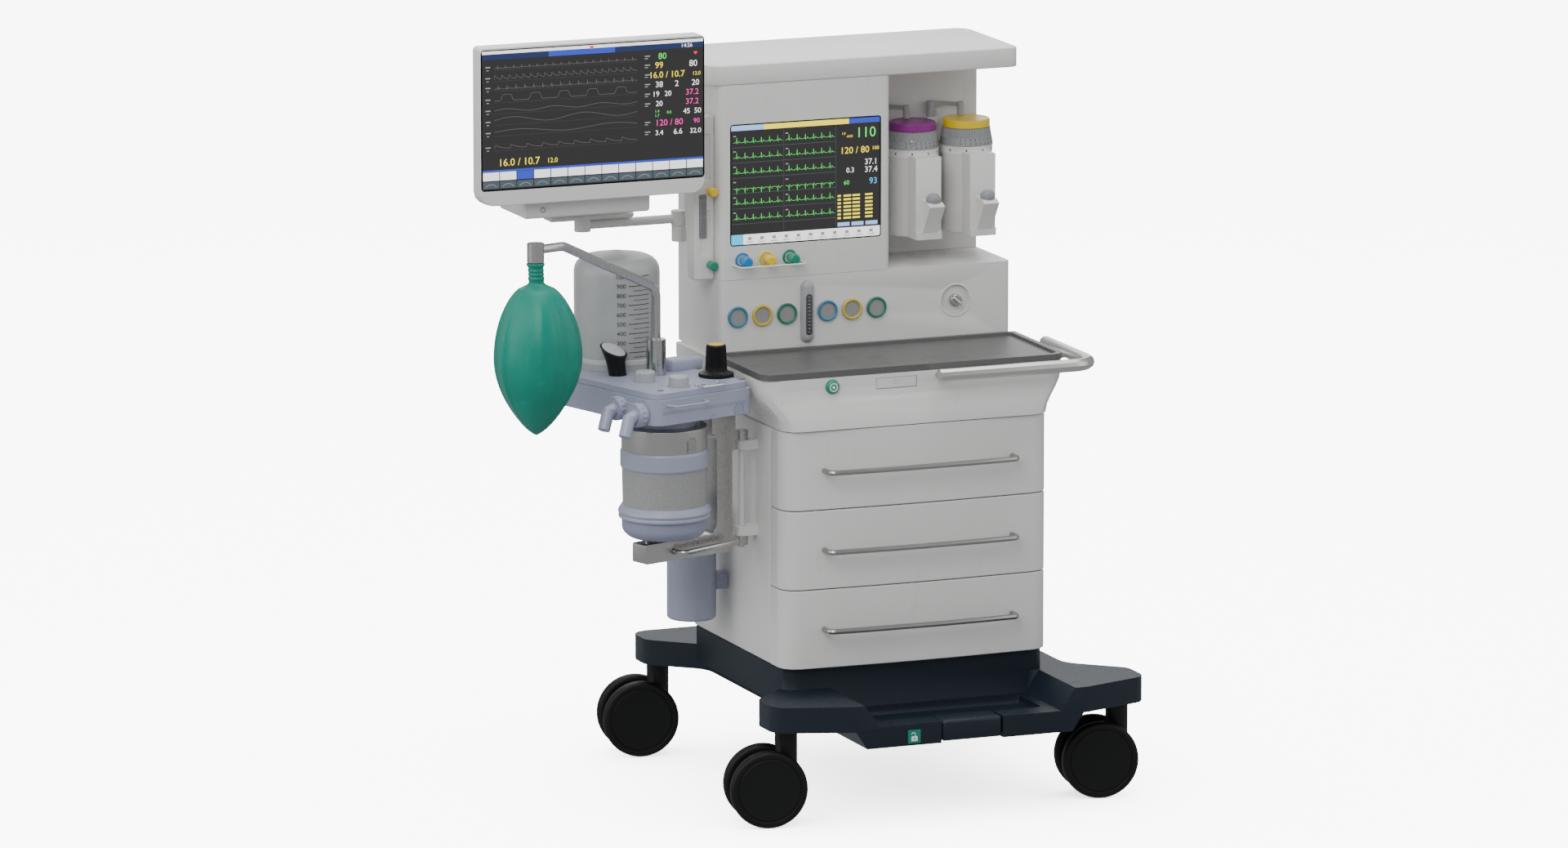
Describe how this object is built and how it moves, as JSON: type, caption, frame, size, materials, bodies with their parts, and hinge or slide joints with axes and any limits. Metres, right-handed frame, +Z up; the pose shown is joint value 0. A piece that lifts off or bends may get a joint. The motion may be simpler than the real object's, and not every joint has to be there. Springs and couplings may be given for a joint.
{
  "type": "anesthesia machine",
  "caption": "Wheeled anesthesia workstation with drawers, worktop, screens, vaporizers, gauges and a side-mounted breathing system with absorber, bellows and bag.",
  "frame": {"origin": "bottom centre of the bounding box, on the floor the casters stand on", "axes": "+Z up, the drawers face -Y, and +X is to the right of someone facing the drawers"},
  "size_m": [1.2558, 0.8283, 1.48],
  "materials": {
    "absorber_granules": "clear canister filled with granules",
    "bag_silicone": "soft teal green silicone",
    "base_navy": "cast, with satin navy textured paint",
    "black_plastic": "fine matt black",
    "cap_purple": "satin purple",
    "cover_white": "lightly textured warm white moulded cover",
    "frosted_dome": "smoky translucent plastic",
    "grey_plastic": "plain mid grey",
    "knob_blue": "satin blue",
    "knob_green": "satin green",
    "knob_yellow": "satin yellow",
    "lavender_plastic": "satin blue-grey moulding",
    "satin_steel": "satin stainless steel",
    "screen_glass": "dark glossy screen",
    "worktop_grey": "brushed grey sheet"
  },
  "bodies": {
    "caster_fl": {"caster_fork_fl": "black_plastic"},
    "wheels_fl": {"caster_wheels_fl": "black_plastic"},
    "caster_fr": {"caster_fork_fr": "black_plastic"},
    "wheels_fr": {"caster_wheels_fr": "black_plastic"},
    "caster_rl": {"caster_fork_rl": "black_plastic"},
    "wheels_rl": {"caster_wheels_rl": "black_plastic"},
    "caster_rr": {"caster_fork_rr": "black_plastic"},
    "wheels_rr": {"caster_wheels_rr": "black_plastic"},
    "brake_pedal": {"brake_pedal": "base_navy"},
    "drawer_top": {"drawer_top": "cover_white", "drawer_handle_top": "satin_steel"},
    "drawer_middle": {"drawer_middle": "cover_white", "drawer_handle_middle": "satin_steel"},
    "drawer_bottom": {"drawer_bottom": "cover_white", "drawer_handle_bottom": "satin_steel"},
    "note_tray": {"note_tray": "cover_white"},
    "oxygen_flush_button": {"oxygen_flush_button": "knob_green"},
    "flow_knob_blue": {"flow_knob_blue": "knob_blue"},
    "flow_knob_yellow": {"flow_knob_yellow": "knob_yellow"},
    "flow_knob_green": {"flow_knob_green": "knob_green"},
    "power_switch": {"power_switch": "satin_steel"},
    "vaporizer_dial_left": {"vaporizer_dial_left": "cap_purple"},
    "vaporizer_lock_left": {"vaporizer_lock_lever_left": "grey_plastic"},
    "vaporizer_dial_right": {"vaporizer_dial_right": "knob_yellow"},
    "vaporizer_lock_right": {"vaporizer_lock_lever_right": "grey_plastic"},
    "side_knob_upper": {"side_knob_upper": "knob_yellow"},
    "side_knob_lower": {"side_knob_lower": "knob_green"},
    "monitor_arm": {"monitor_arm": "cover_white"},
    "monitor_mount": {"monitor_swivel_plate": "cover_white"},
    "monitor": {"monitor_housing": "cover_white", "monitor_glass": "screen_glass"},
    "breathing_system": {"breathing_block": "lavender_plastic", "breathing_top_plate": "lavender_plastic", "bellows_dome": "frosted_dome", "absorber_canister": "absorber_granules", "absorber_bracket": "satin_steel"},
    "bellows": {"bellows_plate": "grey_plastic", "bellows": "black_plastic"},
    "bag_arm": {"bag_arm": "satin_steel", "breathing_bag": "bag_silicone"},
    "apl_valve_knob": {"apl_valve_knob": "black_plastic"},
    "bag_vent_lever": {"bag_vent_lever": "black_plastic"},
    "canister_release": {"canister_release_handle": "satin_steel"},
    "trolley": {"apron_panel": "cover_white", "auxiliary_flowmeter": "grey_plastic", "base_chassis": "base_navy", "cabinet_body": "cover_white", "display_glass": "screen_glass", "display_housing": "cover_white", "gauge_housing": "cover_white", "hand_rail": "satin_steel", "monitor_arm_clamp": "cover_white", "pressure_gauges": "grey_plastic", "scavenging_reservoir": "lavender_plastic", "side_flowmeter_column": "cover_white", "top_shelf": "cover_white", "vaporizer_body_left": "cover_white", "vaporizer_body_right": "cover_white", "ventilator_module": "grey_plastic", "work_surface": "worktop_grey"}
  },
  "joints": [
    {"name": "caster_swivel_fl", "type": "hinge", "parent": "trolley", "child": "caster_fl", "pos_m": [-0.0925, -0.32453, 0.186], "axis": [0, 0, 1], "continuous": true},
    {"name": "wheel_spin_fl", "type": "hinge", "parent": "caster_fl", "child": "wheels_fl", "pos_m": [-0.13176, -0.3169, 0.075], "axis": [0.1908, 0.9816, 0], "continuous": true},
    {"name": "caster_swivel_fr", "type": "hinge", "parent": "trolley", "child": "caster_fr", "pos_m": [0.5955, -0.32453, 0.186], "axis": [0, 0, 1], "continuous": true},
    {"name": "wheel_spin_fr", "type": "hinge", "parent": "caster_fr", "child": "wheels_fr", "pos_m": [0.55624, -0.3169, 0.075], "axis": [0.1908, 0.9816, 0], "continuous": true},
    {"name": "caster_swivel_rl", "type": "hinge", "parent": "trolley", "child": "caster_rl", "pos_m": [-0.0925, 0.34547, 0.186], "axis": [0, 0, 1], "continuous": true},
    {"name": "wheel_spin_rl", "type": "hinge", "parent": "caster_rl", "child": "wheels_rl", "pos_m": [-0.13176, 0.3531, 0.075], "axis": [0.1908, 0.9816, 0], "continuous": true},
    {"name": "caster_swivel_rr", "type": "hinge", "parent": "trolley", "child": "caster_rr", "pos_m": [0.5955, 0.34547, 0.186], "axis": [0, 0, 1], "continuous": true},
    {"name": "wheel_spin_rr", "type": "hinge", "parent": "caster_rr", "child": "wheels_rr", "pos_m": [0.55624, 0.3531, 0.075], "axis": [0.1908, 0.9816, 0], "continuous": true},
    {"name": "brake_pedal_tip", "type": "hinge", "parent": "trolley", "child": "brake_pedal", "pos_m": [0.2555, -0.36253, 0.171], "axis": [1, 0, 0], "range_deg": [0, 9], "stiffness_Nm_per_rad": 15, "springref_deg": -5.73},
    {"name": "drawer_top_slide", "type": "slide", "parent": "trolley", "child": "drawer_top", "axis": [0, -1, 0], "range_m": [0, 0.3]},
    {"name": "drawer_middle_slide", "type": "slide", "parent": "trolley", "child": "drawer_middle", "axis": [0, -1, 0], "range_m": [0, 0.3]},
    {"name": "drawer_bottom_slide", "type": "slide", "parent": "trolley", "child": "drawer_bottom", "axis": [0, -1, 0], "range_m": [0, 0.3]},
    {"name": "note_tray_slide", "type": "slide", "parent": "trolley", "child": "note_tray", "axis": [0, -1, 0], "range_m": [0, 0.11]},
    {"name": "oxygen_flush_press", "type": "slide", "parent": "trolley", "child": "oxygen_flush_button", "axis": [0, 1, 0], "range_m": [0, 0.006], "stiffness_N_per_m": 300, "springref_m": -0.004},
    {"name": "flow_knob_blue_turn", "type": "hinge", "parent": "trolley", "child": "flow_knob_blue", "pos_m": [-0.043, 0.02047, 1.03], "axis": [0, -1, 0], "continuous": true},
    {"name": "flow_knob_yellow_turn", "type": "hinge", "parent": "trolley", "child": "flow_knob_yellow", "pos_m": [0.006, 0.02047, 1.03], "axis": [0, -1, 0], "continuous": true},
    {"name": "flow_knob_green_turn", "type": "hinge", "parent": "trolley", "child": "flow_knob_green", "pos_m": [0.055, 0.02047, 1.03], "axis": [0, -1, 0], "continuous": true},
    {"name": "power_switch_turn", "type": "hinge", "parent": "trolley", "child": "power_switch", "pos_m": [0.4015, 0.02547, 0.922], "axis": [0, 1, 0], "range_deg": [0, 90]},
    {"name": "vaporizer_dial_left_turn", "type": "hinge", "parent": "trolley", "child": "vaporizer_dial_left", "pos_m": [0.3493, 0.11547, 1.2125], "axis": [0, 0, 1], "range_deg": [0, 270]},
    {"name": "vaporizer_lock_left_swing", "type": "hinge", "parent": "trolley", "child": "vaporizer_lock_left", "pos_m": [0.2973, 0.17147, 1.263], "axis": [0, 0, 1], "range_deg": [0, 18]},
    {"name": "vaporizer_dial_right_turn", "type": "hinge", "parent": "trolley", "child": "vaporizer_dial_right", "pos_m": [0.4633, 0.11547, 1.2125], "axis": [0, 0, 1], "range_deg": [0, 270]},
    {"name": "vaporizer_lock_right_swing", "type": "hinge", "parent": "trolley", "child": "vaporizer_lock_right", "pos_m": [0.4113, 0.17147, 1.263], "axis": [0, 0, 1], "range_deg": [0, 18]},
    {"name": "side_knob_upper_turn", "type": "hinge", "parent": "trolley", "child": "side_knob_upper", "pos_m": [-0.0982, 0.04847, 1.164], "axis": [0, -1, 0], "continuous": true},
    {"name": "side_knob_lower_turn", "type": "hinge", "parent": "trolley", "child": "side_knob_lower", "pos_m": [-0.0982, 0.04847, 1.0202], "axis": [0, -1, 0], "continuous": true},
    {"name": "monitor_arm_swing", "type": "hinge", "parent": "trolley", "child": "monitor_arm", "pos_m": [-0.1335, 0.12547, 1.1005], "axis": [0, 0, 1], "range_deg": [-90, 14]},
    {"name": "monitor_swivel", "type": "hinge", "parent": "monitor_arm", "child": "monitor_mount", "pos_m": [-0.3315, 0.12547, 1.1005], "axis": [0, 0, 1], "range_deg": [-45, 4]},
    {"name": "monitor_tilt", "type": "hinge", "parent": "monitor_mount", "child": "monitor", "pos_m": [-0.3315, 0.12547, 1.132], "axis": [1, 0, 0], "range_deg": [-15, 8]},
    {"name": "breathing_system_swing", "type": "hinge", "parent": "trolley", "child": "breathing_system", "pos_m": [-0.0935, -0.09953, 0.775], "axis": [0, 0, 1], "range_deg": [-16, 1.5]},
    {"name": "bellows_stroke", "type": "slide", "parent": "breathing_system", "child": "bellows", "axis": [0, 0, 1], "range_m": [0, 0.08], "deforming": ["bellows"]},
    {"name": "bag_arm_swing", "type": "hinge", "parent": "breathing_system", "child": "bag_arm", "pos_m": [-0.25366, -0.06202, 0.8363], "axis": [0, 0, 1], "range_deg": [-40, 85]},
    {"name": "apl_valve_turn", "type": "hinge", "parent": "breathing_system", "child": "apl_valve_knob", "pos_m": [-0.15356, -0.12061, 0.8363], "axis": [0, 0, 1], "range_deg": [-270, 0]},
    {"name": "bag_vent_lever_turn", "type": "hinge", "parent": "breathing_system", "child": "bag_vent_lever", "pos_m": [-0.32388, -0.0403, 0.8363], "axis": [0, 0, 1], "range_deg": [0, 90]},
    {"name": "canister_release_turn", "type": "hinge", "parent": "breathing_system", "child": "canister_release", "pos_m": [-0.26474, -0.14823, 0.512], "axis": [-0.2924, 0.9563, 0], "range_deg": [0, 80]}
  ]
}
